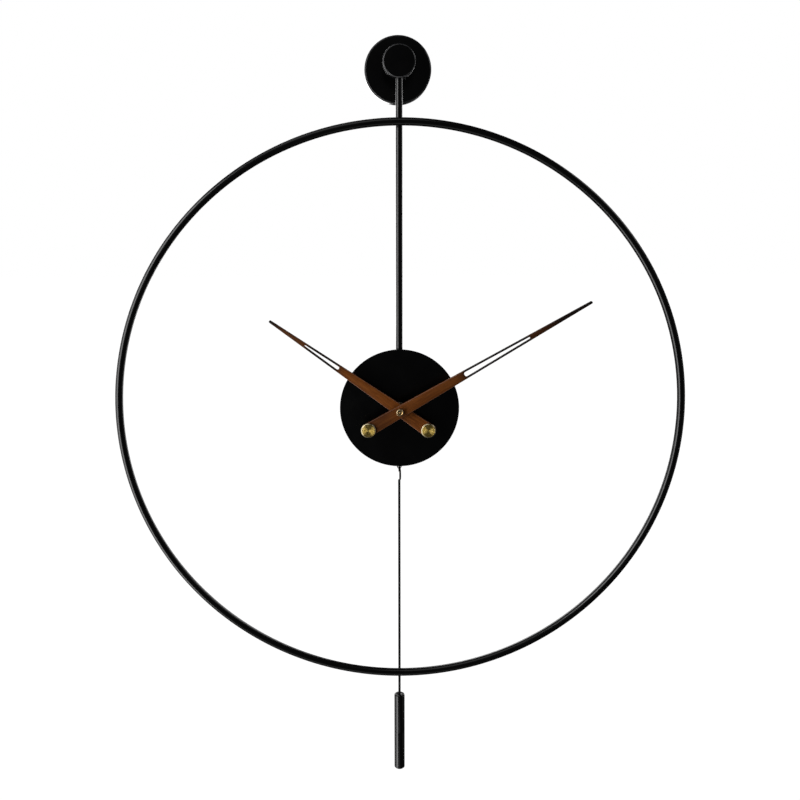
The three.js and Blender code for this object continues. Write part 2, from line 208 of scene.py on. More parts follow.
def metal(name, lo, hi, rough, scale=(1, 1, 1), grain=900, depth=0.00002, aniso=0.0, tangent=None):
    m, nt, b = new_material(name)
    c = coords(nt, scale)
    fine = noise(nt, c, grain, 3.0, 0.6)
    broad = noise(nt, coords(nt), 90, 3.0, 0.6)
    col = ramp(nt, broad, "Fac", [(0.3, lo), (0.7, hi)])
    nt.links.new(col.outputs["Color"], b.inputs["Base Color"])
    r = to_range(nt, fine, "Fac", 0.25, 0.75, *rough)
    nt.links.new(r.outputs["Result"], b.inputs["Roughness"])
    b.inputs["Metallic"].default_value = 1.0
    bump(nt, b, fine, "Fac", 0.25, depth)
    if aniso:
        b.inputs["Anisotropic"].default_value = aniso
        t = nt.nodes.new("ShaderNodeTangent")
        t.direction_type = "RADIAL"
        t.axis = tangent or "Y"
        nt.links.new(t.outputs["Tangent"], b.inputs["Tangent"])
    return m


def turned_brass(name, centre, pitch=0.0009, lo=(0.56, 0.37, 0.060), hi=(0.88, 0.65, 0.20), rough=(0.40, 0.48), aniso=0.97):
    """brass faced on a lathe: concentric tool marks about the piece's own axis, local Z"""
    m, nt, b = new_material(name)
    t = nt.nodes.new("ShaderNodeTexCoord")
    sep = nt.nodes.new("ShaderNodeSeparateXYZ")
    link(nt, t, "Object", sep, "Vector")
    comb = nt.nodes.new("ShaderNodeCombineXYZ")
    link(nt, sep, "X", comb, "X"); link(nt, sep, "Y", comb, "Y")
    ln = nt.nodes.new("ShaderNodeVectorMath"); ln.operation = "LENGTH"
    link(nt, comb, "Vector", ln, 0)
    # uneven tool marks: noise that only changes with the radius
    rad = nt.nodes.new("ShaderNodeCombineXYZ")
    nt.links.new(ln.outputs["Value"], rad.inputs["X"])
    rad.inputs["Y"].default_value = centre[0]
    nz = nt.nodes.new("ShaderNodeTexNoise")
    nz.inputs["Scale"].default_value = 2600
    nz.inputs["Detail"].default_value = 3
    link(nt, rad, "Vector", nz, "Vector")
    bump(nt, b, nz, "Fac", 0.25, 0.00001)
    tone = noise(nt, coords(nt), 220, 3.0, 0.6)
    mixed = node(nt, "ShaderNodeMath", operation="MULTIPLY_ADD"); mixed.inputs[1].default_value = 0.45
    link(nt, tone, "Fac", mixed, 0)
    half = node(nt, "ShaderNodeMath", operation="MULTIPLY"); half.inputs[1].default_value = 0.55
    link(nt, nz, "Fac", half, 0)
    link(nt, half, 0, mixed, 2)
    col = ramp(nt, mixed, 0, [(0.34, lo), (0.62, hi)])
    nt.links.new(col.outputs["Color"], b.inputs["Base Color"])
    r = to_range(nt, nz, "Fac", 0.3, 0.7, *rough)
    nt.links.new(r.outputs["Result"], b.inputs["Roughness"])
    b.inputs["Metallic"].default_value = 1.0
    b.inputs["Anisotropic"].default_value = aniso
    b.inputs["Anisotropic Rotation"].default_value = 0.25
    tg = nt.nodes.new("ShaderNodeTangent")
    tg.direction_type = "RADIAL"
    tg.axis = "Z"
    nt.links.new(tg.outputs["Tangent"], b.inputs["Tangent"])
    return m


def walnut(name, stops, seed, k=1.0):
    """oiled walnut: long grain along local Y, fine open pores, darker where stops say (metres along the hand, darkness)"""
    m, nt, b = new_material(name)
    base = nt.nodes.new("ShaderNodeTexCoord")
    mp = nt.nodes.new("ShaderNodeMapping")
    mp.inputs["Location"].default_value = (seed, seed * 1.7, seed * 0.6)
    mp.inputs["Scale"].default_value = (1.0, 0.055, 1.0)
    link(nt, base, "Object", mp, "Vector")
    warp = noise(nt, mp, 190, 4.0, 0.6, 0.6)
    figure = noise(nt, mp, 620, 6.0, 0.65, 1.2)
    mp2 = nt.nodes.new("ShaderNodeMapping")
    mp2.inputs["Scale"].default_value = (1.0, 0.03, 1.0)
    link(nt, base, "Object", mp2, "Vector")
    pore = noise(nt, mp2, 3400, 2.0, 0.5)
    tones = ((0.30, (0.088, 0.023, 0.0026)), (0.48, (0.142, 0.040, 0.0042)), (0.60, (0.176, 0.054, 0.0060)), (0.78, (0.112, 0.030, 0.0034)))
    tone = ramp(nt, figure, "Fac", [(q, tuple(v * k for v in c)) for q, c in tones])
    broad = ramp(nt, warp, "Fac", [(0.35, (0.80, 0.76, 0.72)), (0.62, (1.10, 1.06, 1.02))])
    one = mix_color(nt, 1.0, None, (tone, "Color"), (broad, "Color"), "MULTIPLY")
    line = ramp(nt, pore, "Fac", [(0.36, grey(0.55)), (0.47, grey(1.0))])
    two = mix_color(nt, 0.6, None, (one, 2), (line, "Color"), "MULTIPLY")
    # the bevels are painted paler: a painted highlight for light caught on the chamfers
    two = mix_color(nt, edge_mask(nt), "Color", (two, 2), (0.20 * k, 0.105 * k, 0.075 * k))
    # darkness along the hand
    sep = nt.nodes.new("ShaderNodeSeparateXYZ")
    link(nt, base, "Object", sep, "Vector")
    lo, hi = stops[0][0], stops[-1][0]
    along = to_range(nt, sep, "Y", lo, hi, 0, 1)
    dark = ramp(nt, along, "Result", [((p - lo) / (hi - lo), grey(v)) for p, v in stops])
    three = mix_color(nt, dark, "Color", (two, 2), (0.0045, 0.0028, 0.002), "MIX")
    nt.links.new(three.outputs[2], b.inputs["Base Color"])
    r = to_range(nt, figure, "Fac", 0.3, 0.7, 0.42, 0.58)
    nt.links.new(r.outputs["Result"], b.inputs["Roughness"])
    g = bump(nt, b, pore, "Fac", 0.35, 0.00005)
    bump(nt, b, figure, "Fac", 0.12, 0.0001, under=g)
    b.inputs["Specular IOR Level"].default_value = 0.22
    return m


def stripes(name, axis, pitch, lo, hi, metallic, rough, depth):
    """fine parallel windings round a coil"""
    m, nt, b = new_material(name)
    t = nt.nodes.new("ShaderNodeTexCoord")
    sep = nt.nodes.new("ShaderNodeSeparateXYZ")
    link(nt, t, "Object", sep, "Vector")
    sc = node(nt, "ShaderNodeMath", operation="MULTIPLY"); sc.inputs[1].default_value = 2 * PI / pitch
    link(nt, sep, axis, sc, 0)
    sn = node(nt, "ShaderNodeMath", operation="SINE")
    link(nt, sc, 0, sn, 0)
    rg = to_range(nt, sn, 0, -1, 1, 0, 1)
    col = ramp(nt, rg, "Result", [(0.1, lo), (0.9, hi)])
    nt.links.new(col.outputs["Color"], b.inputs["Base Color"])
    b.inputs["Metallic"].default_value = metallic
    b.inputs["Roughness"].default_value = rough
    bump(nt, b, rg, "Result", 0.6, depth)
    return m


def board(name):
    m, nt, b = new_material(name)
    c = coords(nt)
    v = nt.nodes.new("ShaderNodeTexBrick")
    v.inputs["Scale"].default_value = 160
    v.inputs["Mortar Size"].default_value = 0.035
    v.inputs["Color1"].default_value = (0.006, 0.055, 0.02, 1)
    v.inputs["Color2"].default_value = (0.008, 0.07, 0.026, 1)
    v.inputs["Mortar"].default_value = (0.03, 0.18, 0.06, 1)
    sw = nt.nodes.new("ShaderNodeMapping")
    sw.inputs["Rotation"].default_value = (PI / 2, 0, 0)
    link(nt, c, "Vector", sw, "Vector")
    link(nt, sw, "Vector", v, "Vector")
    nt.links.new(v.outputs["Color"], b.inputs["Base Color"])
    b.inputs["Roughness"].default_value = 0.35
    bump(nt, b, v, "Fac", 0.2, 0.00003)
    return m


BLACK = powder("powder_black", (0.0008, 0.0008, 0.0009), (0.0014, 0.0014, 0.0015), rough=(0.18, 0.23), spec=0.5)
# the cover's and hub's edge colours are painted highlights for light caught on their bevels
BLACK_COVER = powder("powder_black_cover", (0.0005, 0.0005, 0.0006), (0.0010, 0.0010, 0.0011), rough=(0.20, 0.25), spec=0.42, edge=(0.020, 0.020, 0.021))
BLACK_HUB = powder("powder_black_hub", (0.0005, 0.0005, 0.0006), (0.0010, 0.0010, 0.0011), rough=(0.20, 0.25), spec=0.42, edge=(0.060, 0.060, 0.062))
BLACK_FACE = powder("powder_black_face", (0.0005, 0.0005, 0.0006), (0.0010, 0.0010, 0.0011), rough=(0.22, 0.27), grain=1300, spec=0.33)
BLACK_WIRE = powder("powder_black_wire", (0.0006, 0.0006, 0.0007), (0.0012, 0.0012, 0.0013), rough=(0.50, 0.60), spec=0.18)
ABS = plastic("abs_black", (0.010, 0.010, 0.011), (0.016, 0.016, 0.017), (0.46, 0.60), 2600, 0.00006)
ABS_CASE = plastic("abs_black_case", (0.020, 0.020, 0.021), (0.030, 0.030, 0.032), (0.36, 0.48), 2600, 0.00005)
ABS_LID = plastic("abs_black_lid", (0.026, 0.026, 0.028), (0.038, 0.038, 0.040), (0.42, 0.56), 3200, 0.00007)
ACETAL = plastic("acetal", (0.62, 0.61, 0.56), (0.74, 0.73, 0.69), (0.28, 0.40), 1800, 0.00002, sss=0.1)
RUBBER = plastic("rubber_black", (0.012, 0.012, 0.012), (0.022, 0.022, 0.022), (0.75, 0.9), 2200, 0.00008, spec=0.3)
STEEL = metal("zinc_steel", (0.42, 0.43, 0.44), (0.60, 0.61, 0.62), (0.24, 0.40))
STEEL_TURNED = metal("turned_steel", (0.40, 0.41, 0.42), (0.58, 0.59, 0.60), (0.20, 0.34), scale=(1, 14, 1), grain=500, aniso=0.5, tangent="Y")
WIRE = metal("hook_wire", (0.010, 0.009, 0.008), (0.022, 0.020, 0.018), (0.35, 0.50), grain=1600)
BRASS = metal("brass_plain", (0.46, 0.34, 0.13), (0.66, 0.51, 0.23), (0.24, 0.36), scale=(1, 10, 1), grain=600, aniso=0.4, tangent="Y")
NUT = metal("nut_brass", (0.30, 0.23, 0.12), (0.42, 0.33, 0.18), (0.30, 0.42), grain=700)
MAGNET = metal("magnet_nickel", (0.20, 0.20, 0.21), (0.32, 0.32, 0.33), (0.28, 0.42), grain=700)
COPPER = stripes("copper_coil", "X", 0.00022, (0.22, 0.06, 0.018), (0.62, 0.26, 0.10), 0.8, 0.32, 0.00008)
COPPER_FLAT = stripes("copper_coil_flat", "Y", 0.00022, (0.22, 0.06, 0.018), (0.62, 0.26, 0.10), 0.8, 0.32, 0.00008)
BOARD = board("circuit_laminate")
SLEEVE = plastic("cell_sleeve", (0.018, 0.045, 0.080), (0.024, 0.058, 0.10), (0.18, 0.28), 900, 0.00001)
SLEEVE_BAND = plastic("cell_sleeve_band", (0.42, 0.20, 0.06), (0.52, 0.27, 0.09), (0.18, 0.28), 900, 0.00001)
CAN = metal("cell_can", (0.52, 0.53, 0.54), (0.66, 0.67, 0.68), (0.16, 0.28), grain=1200)


# ------------------------------------------------------------------ mesh helpers
def finish_mesh(name, me, mats, body, replaces=(), sharp=35, matrix=None):
    me.validate()
    me.shade_smooth()
    me.set_sharp_from_angle(angle=math.radians(sharp))
    for m in mats if isinstance(mats, (list, tuple)) else [mats]:
        me.materials.append(m)
    o = bpy.data.objects.new(name, me)
    scene.collection.objects.link(o)
    if matrix is not None:
        o.matrix_world = matrix
    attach(o, body)
    if replaces:
        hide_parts(*([replaces] if isinstance(replaces, str) else replaces))
    return o


def fillet(points, radii, n=4):
    """rounds the corners of an open [(r, y)] profile; ends are kept"""
    out = [points[0]]
    for i in range(1, len(points) - 1):
        p0, p1, p2 = (Vector(points[k]) for k in (i - 1, i, i + 1))
        r = radii[i] if isinstance(radii, (list, tuple)) else radii
        if r <= 0:
            out.append(tuple(p1)); continue
        a, b = (p0 - p1), (p2 - p1)
        la, lb = a.length, b.length
        a.normalize(); b.normalize()
        ang = math.acos(max(-1, min(1, a.dot(b))))
        if ang > math.radians(176):
            out.append(tuple(p1)); continue
        t = min(r / math.tan(ang / 2), la * 0.48, lb * 0.48)
        s, e = p1 + a * t, p1 + b * t
        for k in range(n + 1):
            f = k / n
            q = (1 - f) ** 2 * s + 2 * (1 - f) * f * p1 + f ** 2 * e
            out.append(tuple(q))
    out.append(points[-1])
    return out


def lathe_mesh(name, profile, seg=128, closed=False):
    """profile [(r, h)] in metres about local Z"""
    bm = bmesh.new()
    rings = []
    for r, h in profile:
        if r < 1e-7:
            rings.append([bm.verts.new((0, 0, h))])
        else:
            rings.append([bm.verts.new((r * math.cos(2 * PI * k / seg), r * math.sin(2 * PI * k / seg), h)) for k in range(seg)])
    pairs = list(zip(rings, rings[1:]))
    if closed:
        pairs.append((rings[-1], rings[0]))
    for a, b in pairs:
        for k in range(seg):
            j = (k + 1) % seg
            if len(a) == 1 and len(b) == 1:
                continue
            if len(a) == 1:
                bm.faces.new((a[0], b[j], b[k]))
            elif len(b) == 1:
                bm.faces.new((a[k], a[j], b[0]))
            else:
                bm.faces.new((a[k], a[j], b[j], b[k]))
    bmesh.ops.recalc_face_normals(bm, faces=bm.faces)
    me = bpy.data.meshes.new(name)
    bm.to_mesh(me)
    bm.free()
    return me


# local Z of a turned piece points out of the clock's front, local Y up
FRONT = Matrix(((1, 0, 0), (0, 0, -1), (0, 1, 0))).to_4x4()


def at(x, y, z):
    """a place in the clock frame's own axes, in mm"""
    return Matrix.Translation((O.x + x * MM, O.y + y * MM, O.z + z * MM)) @ FRONT


def turned(name, profile, mats, body, replaces=(), x=0, z=0, seg=128, closed=False, radii=0.0, n=4, sharp=35, place=None):
    """profile [(r, y)] in mm with y the clock frame's depth axis, or the row's if place is given"""
    pts = [(r * MM, -y * MM) for r, y in profile]
    if radii:
        rr = [v * MM for v in radii] if isinstance(radii, (list, tuple)) else radii * MM
        if closed:
            ext = [pts[-1]] + pts + [pts[0]]
            re = [0] + (list(rr) if isinstance(rr, list) else [rr] * len(pts)) + [0]
            pts = fillet(ext, re, n)[1:-1]
        else:
            pts = fillet(pts, rr, n)
    me = lathe_mesh(name, pts, seg, closed)
    return finish_mesh(name, me, mats, body, replaces, sharp, place if place is not None else at(x, 0, z))


def curve_mesh(name, outlines, depth, bevel, res=3):
    """outlines: list of closed [(x, y)] in metres, the first is outer; a plate of that depth with rounded edges, centred on local Z"""
    cu = bpy.data.curves.new(name, "CURVE")
    cu.dimensions = "2D"
    cu.fill_mode = "BOTH"
    cu.extrude = depth / 2 - bevel
    cu.bevel_depth = bevel
    cu.bevel_resolution = res
    cu.offset = -bevel
    for pts in outlines:
        sp = cu.splines.new("POLY")
        sp.points.add(len(pts) - 1)
        for p, (x, y) in zip(sp.points, pts):
            p.co = (x, y, 0, 1)
        sp.use_cyclic_u = True
    o = bpy.data.objects.new(name + "_tmp", cu)
    scene.collection.objects.link(o)
    bpy.context.view_layer.update()
    dg = bpy.context.evaluated_depsgraph_get()
    me = bpy.data.meshes.new_from_object(o.evaluated_get(dg))
    bpy.data.objects.remove(o)
    bpy.data.curves.remove(cu)
    me.name = name
    me.materials.clear()
    bm = bmesh.new()
    bm.from_mesh(me)
    bmesh.ops.remove_doubles(bm, verts=bm.verts, dist=1e-6)
    bmesh.ops.recalc_face_normals(bm, faces=bm.faces)
    bm.to_mesh(me)
    bm.free()
    return me


def circle_pts(r, n=48, x=0.0, y=0.0):
    return [(x + r * math.cos(2 * PI * k / n), y + r * math.sin(2 * PI * k / n)) for k in range(n)]


def boolean_cut(me, cutters):
    """me minus each (radius, length, matrix) cylinder"""
    o = bpy.data.objects.new("cut_tmp", me)
    scene.collection.objects.link(o)
    tools = []
    for r0, r1, length, mtx in cutters:
        bm = bmesh.new()
        bmesh.ops.create_cone(bm, cap_ends=True, segments=48, radius1=r0, radius2=r1, depth=length)
        t = bpy.data.meshes.new("tool")
        bm.to_mesh(t); bm.free()
        c = bpy.data.objects.new("tool_tmp", t)
        c.matrix_world = mtx
        scene.collection.objects.link(c)
        md = o.modifiers.new("b", "BOOLEAN")
        md.operation = "DIFFERENCE"
        md.solver = "EXACT"
        md.object = c
        tools.append(c)
    bpy.context.view_layer.update()
    dg = bpy.context.evaluated_depsgraph_get()
    out = bpy.data.meshes.new_from_object(o.evaluated_get(dg))
    bpy.data.objects.remove(o)
    for c in tools:
        bpy.data.objects.remove(c)
    out.materials.clear()
    return out


def tube_along(name, points, r, mats, body, replaces=(), seg=16, steps=8):
    """a round wire through points (mm, clock frame), with domed ends; r may be given point by point"""
    pts = [Vector((O.x + p[0] * MM, O.y + p[1] * MM, O.z + p[2] * MM)) for p in points]
    rads = list(r) if isinstance(r, (list, tuple)) else [r] * len(pts)
    if len(pts) > 2:
        dense, rr = [], []
        for i in range(len(pts) - 1):
            p0 = pts[max(i - 1, 0)]; p1 = pts[i]; p2 = pts[i + 1]; p3 = pts[min(i + 2, len(pts) - 1)]
            for k in range(steps):
                t = k / steps
                rr.append(rads[i] * (1 - t) + rads[i + 1] * t)
                dense.append(0.5 * ((2 * p1) + (p2 - p0) * t + (2 * p0 - 5 * p1 + 4 * p2 - p3) * t * t + (3 * p1 - p0 - 3 * p2 + p3) * t ** 3))
        dense.append(pts[-1])
        rr.append(rads[-1])
        pts, rads = dense, rr
    bm = bmesh.new()
    up = Vector((1, 0, 0))
    tang = [(pts[min(i + 1, len(pts) - 1)] - pts[max(i - 1, 0)]).normalized() for i in range(len(pts))]
    stations = []
    n_cap = 4
    for k in range(n_cap):
        a = (1 - k / n_cap) * PI / 2
        stations.append((pts[0] - tang[0] * rads[0] * MM * math.sin(a), tang[0], rads[0] * MM * math.cos(a)))
    for p, t, q in zip(pts, tang, rads):
        stations.append((p, t, q * MM))
    for k in range(1, n_cap + 1):
        a = k / n_cap * PI / 2
        stations.append((pts[-1] + tang[-1] * rads[-1] * MM * math.sin(a), tang[-1], rads[-1] * MM * math.cos(a)))
    rings = []
    side = None
    for p, t, rad in stations:
        side = (up - t * up.dot(t)) if side is None else (side - t * side.dot(t))
        side.normalize()
        other = t.cross(side)
        if rad < 1e-7:
            rings.append([bm.verts.new(p)])
        else:
            rings.append([bm.verts.new(p + (side * math.cos(2 * PI * k / seg) + other * math.sin(2 * PI * k / seg)) * rad) for k in range(seg)])
    for a, b in zip(rings, rings[1:]):
        for k in range(seg):
            j = (k + 1) % seg
            if len(a) == 1:
                bm.faces.new((a[0], b[j], b[k]))
            elif len(b) == 1:
                bm.faces.new((a[k], a[j], b[0]))
            else:
                bm.faces.new((a[k], a[j], b[j], b[k]))
    bmesh.ops.recalc_face_normals(bm, faces=bm.faces)
    me = bpy.data.meshes.new(name)
    bm.to_mesh(me); bm.free()
    return finish_mesh(name, me, mats, body, replaces, 60)


def keep(name, mat, slot=None, bevel=None, sharp=40):
    """a CAD node stays as it is, with its own finish and softened edges"""
    o = nodes[name]
    o.data.materials.clear()
    o.data.materials.append(mat)
    if bevel:
        md = o.modifiers.new("edge", "BEVEL")
        md.width = bevel * MM
        md.segments = 2
        md.limit_method = "ANGLE"
        md.angle_limit = math.radians(sharp)
        md.harden_normals = False
    return o


# ------------------------------------------------------------------ ring and rod
R_TUBE = (_hi.y - _lo.y) / 2
R_RING = (_hi.x - _lo.x) / 2 - R_TUBE
bm = bmesh.new()
NS, NT = 320, 28
grid = []
for i in range(NS):
    a = 2 * PI * i / NS
    row = []
    for j in range(NT):
        t = 2 * PI * j / NT
        rr = R_RING + R_TUBE * math.cos(t)
        row.append(bm.verts.new((O.x + rr * math.cos(a), O.y - R_TUBE * math.sin(t), O.z + rr * math.sin(a))))
    grid.append(row)
for i in range(NS):
    for j in range(NT):
        a, b = grid[i], grid[(i + 1) % NS]
        bm.faces.new((a[j], b[j], b[(j + 1) % NT], a[(j + 1) % NT]))
bmesh.ops.recalc_face_normals(bm, faces=bm.faces)
me = bpy.data.meshes.new("ring_tube")
bm.to_mesh(me); bm.free()
finish_mesh("ring_tube", me, BLACK, FRAME, "ring", 60)

ROD_Y, ROD_R = 7.9, 3.5
tube_along("hanger_rod_bar", [(0, ROD_Y, 31), (0, ROD_Y, 343)], ROD_R, BLACK, FRAME, "hanger_rod", seg=36)


def bead(name, points, r, seed):
    """a ground and painted weld bead: an uneven string of low ripples"""
    rnd = random.Random(seed)
    pts = []
    for i, p in enumerate(points):
        pts.append((p[0] + rnd.uniform(-0.12, 0.12), p[1] + rnd.uniform(-0.08, 0.08), p[2] + rnd.uniform(-0.05, 0.05)))
    o = tube_along(name, pts, r, BLACK, FRAME, (), seg=12, steps=5)
    return o


for s, tag in ((-1, "left"), (1, "right")):
    # where the rod's back crosses the ring, and down the rod on the disc's back
    bead(f"weld_ring_top_{tag}", [(s * 3.3, 4.3 + 0.25 * k, 296 + 1.9 * (k - 1.5)) for k in range(4)], 0.8, 3 + s)
    bead(f"weld_disc_{tag}", [(s * 2.95, 4.85, 34 + k * 2.4) for k in range(11)], 0.8, 11 + s)

# hub with its blind bore, and the set screw on top
_hlo, _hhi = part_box("hub")
HUB_R = (_hhi.x - _hlo.x) / 2 / MM
HUB_F, HUB_B = (_hlo.y - O.y) / MM, (_hhi.y - O.y) / MM
HUB_Z = ((_hlo.z + _hhi.z) / 2 - O.z) / MM
prof = [(0, HUB_F), (HUB_R - 1, HUB_F), (HUB_R, HUB_F + 1), (HUB_R, HUB_B - 0.8), (HUB_R - 0.8, HUB_B), (5.3, HUB_B), (5.3, HUB_B - 12), (0, HUB_B - 12)]
pts = fillet([(r * MM, -y * MM) for r, y in prof], [v * MM for v in (0, 0.35, 0.35, 0.3, 0.3, 0.2, 0.3, 0)], 4)
me = lathe_mesh("hub_body", pts, 160)
_slo, _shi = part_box("hub_set_screw")
sy = (_slo[1] + _shi[1]) / 2 - O.y
hub_place = at(0, 0, HUB_Z)
cut_m = Matrix.Translation((0, 11 * MM, -sy)) @ Matrix.Rotation(PI / 2, 4, "X")
me = boolean_cut(me, [(2.0 * MM, 2.0 * MM, 14 * MM, cut_m)])
finish_mesh("hub_body", me, BLACK_HUB, FRAME, "hub", 32, hub_place)
keep("hub_set_screw", STEEL, bevel=0.08)

# wall side, in the row's own axes
WALL = Matrix.Translation((0, 0, 0)) @ FRONT
_clo, _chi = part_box("wall_cover")
CR = (_chi.x - _clo.x) / 2 / MM
COVER = Matrix.Translation((0, 0, (_clo.z + _chi.z) / 2)) @ FRONT
turned("wall_cover_cup", [(4.0, -16), (CR - 1.5, -16), (CR, -14.7), (CR, -0.5), (CR - 1.5, -0.5), (CR - 1.5, -14.5), (4.0, -14.5)],
       BLACK_COVER, "wall_mount", "wall_cover", seg=192, closed=True, radii=[0.3, 0.4, 0.5, 0.5, 0.3, 0.6, 0.3], place=COVER, sharp=30)
prof = [(0, -0.0), (32.5, -0.0), (32.5, -4), (9, -4), (9, -9), (3.0, -9), (3.0, -1.5), (0, -1.5)]
pts = fillet([(r * MM, -y * MM) for r, y in prof], [v * MM for v in (0, 0.4, 0.4, 0.8, 0.5, 0.4, 0, 0)], 4)
me = lathe_mesh("wall_plate_disc", pts, 160)
cuts = []
for s in (-1, 1):
    cuts.append((2.4 * MM, 2.4 * MM, 12 * MM, Matrix.Translation((s * 21 * MM, 0, 2 * MM))))
    cuts.append((2.4 * MM, 4.6 * MM, 2.2 * MM, Matrix.Translation((s * 21 * MM, 0, 3.1 * MM))))
me = boolean_cut(me, cuts)
finish_mesh("wall_plate_disc", me, STEEL, "wall_mount", "wall_plate", 30, WALL)
_plo, _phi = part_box("hanging_peg")
tip = _plo[1] * 1000
turned("hanging_peg_pin", [(0, -1.8), (2.7, -1.8), (2.7, -16.3), (8, -16.3), (8, -18.3), (5, -18.3), (5, tip + 7), (4, tip + 7), (4, tip + 3.6), (5, tip + 3.6), (5, tip + 0.8), (4.2, tip), (0, tip)],
       BLACK, "wall_mount", "hanging_peg", seg=96, radii=[0, 0.3, 0, 0.4, 0.5, 0.4, 0.2, 0.2, 0.2, 0.2, 0.2, 0.2, 0], place=WALL, sharp=30)

# ------------------------------------------------------------------ dial disc
turned("dial_disc_plate", [(4.5, 2), (63, 2), (63, 4), (4.5, 4)], [BLACK_FACE], FRAME, "dial_disc", seg=256, closed=True,
       radii=[0.2, 0.55, 0.55, 0.2], sharp=30)
turned("fixing_washer_ring", [(4.25, 0.9), (7, 0.9), (7, 1.7), (4.25, 1.7)], STEEL, FRAME, "fixing_washer", seg=96, closed=True, radii=0.15)
turned("rubber_gasket_ring", [(4.25, 4.3), (9.5, 4.3), (9.5, 5.1), (4.25, 5.1)], RUBBER, FRAME, "rubber_gasket", seg=96, closed=True, radii=0.25)

# threaded bushing: real ridges along the thread
prof = [(2.9, -3.6), (3.55, -3.6)]
y = -3.2
while y < 6.4:
    prof += [(3.9, y), (3.9, y + 0.14), (3.55, y + 0.375), (3.55, y + 0.5)]
    y += 0.7
prof += [(3.9, 6.9), (5.6, 6.9), (5.6, 7.7), (2.9, 7.7)]
turned("centre_bushing_thread", prof, BRASS, FRAME, "centre_bushing", seg=64, closed=True)

# hexagon nut with chamfered corners, one corner up
hexa = []
RN = 7.35
for k in range(6):
    a0, a1 = PI / 2 + k * PI / 3, PI / 2 + (k + 1) * PI / 3
    for f in range(6):
        t = f / 6
        hexa.append(((math.cos(a0) * (1 - t) + math.cos(a1) * t) * RN * MM, (math.sin(a0) * (1 - t) + math.sin(a1) * t) * RN * MM))
me = curve_mesh("fixing_nut_hex", [hexa, circle_pts(4.2 * MM, 48)], 3.4 * MM, 0.35 * MM, 3)
finish_mesh("fixing_nut_hex", me, NUT, FRAME, "fixing_nut", 30, at(0, -1.1, 0))


# ------------------------------------------------------------------ hands
def hand_shape(u0, u1, w0, w1, slot_ends, rail, bore, stud, tail=3.0, tip=1.0):
    half = lambda u: (w0 + (w1 - w0) * (u - u0) / (u1 - u0)) / 2
    left, right = [], []
    # rounded tail corners
    for k in range(7):
        a = k / 6 * PI / 2
        right.append((half(u0) - tail + tail * math.sin(a), u0 + tail - tail * math.cos(a)))
    n = 60
    for k in range(1, n):
        u = u0 + tail + (u1 - tip - u0 - tail) * k / n
        right.append((half(u), u))
    # rounded tip
    rt = half(u1 - tip)
    for k in range(1, 8):
        a = k / 8 * PI / 2
        right.append((rt * math.cos(a), u1 - tip + tip * math.sin(a)))
    outer = [(x * MM, u * MM) for x, u in right]
    outer.append((0, u1 * MM))
    outer += [(-x * MM, u * MM) for x, u in reversed(right)]
    a, b = slot_ends
    ra, rb = half(a + 2) - rail, half(b - 1) - rail
    slot = []
    ca = min(ra, 1.9)                       # inner end: square with well rounded corners
    for k in range(7):
        t = k / 6 * PI / 2
        slot.append((ra - ca + ca * math.sin(t), a + ca - ca * math.cos(t)))
    for k in range(1, 24):
        u = a + ca + (b - rb - a - ca) * k / 24
        slot.append((half(u) - rail, u))
    for k in range(0, 8):
        t = k / 8 * PI / 2
        slot.append((rb * math.cos(t), b - rb + rb * math.sin(t)))
    hole = [(x * MM, u * MM) for x, u in slot] + [(0, b * MM)] + [(-x * MM, u * MM) for x, u in reversed(slot)]
    return [outer, hole, circle_pts(bore * MM, 48), circle_pts(2.3 * MM, 32, 0, stud * MM)]


def pointing(angle, y):
    """local Y along the hand, local Z to the front, turned clockwise from 12 by angle"""
    a = math.radians(angle)
    m = Matrix(((math.cos(a), math.sin(a), 0), (0, 0, -1), (-math.sin(a), math.cos(a), 0))).to_4x4()
    return Matrix.Translation((O.x, O.y + y * MM, O.z)) @ m


WALNUT_MIN = walnut("walnut_minute", [(-0.045, 0.48), (-0.018, 0.38), (0.003, 0.08), (0.02, 0.0), (0.066, 0.05), (0.0745, 0.45), (0.080, 0.97), (0.150, 0.985), (0.157, 0.62), (0.172, 0.68), (0.190, 0.95), (0.227, 0.99)], 3.1, 1.03)
WALNUT_HOUR = walnut("walnut_hour", [(-0.045, 0.08), (0.02, 0.0), (0.068, 0.05), (0.0765, 0.45), (0.082, 0.96), (0.115, 0.96), (0.121, 0.45), (0.145, 0.55), (0.156, 0.84), (0.164, 0.99)], 7.7, 1.22)
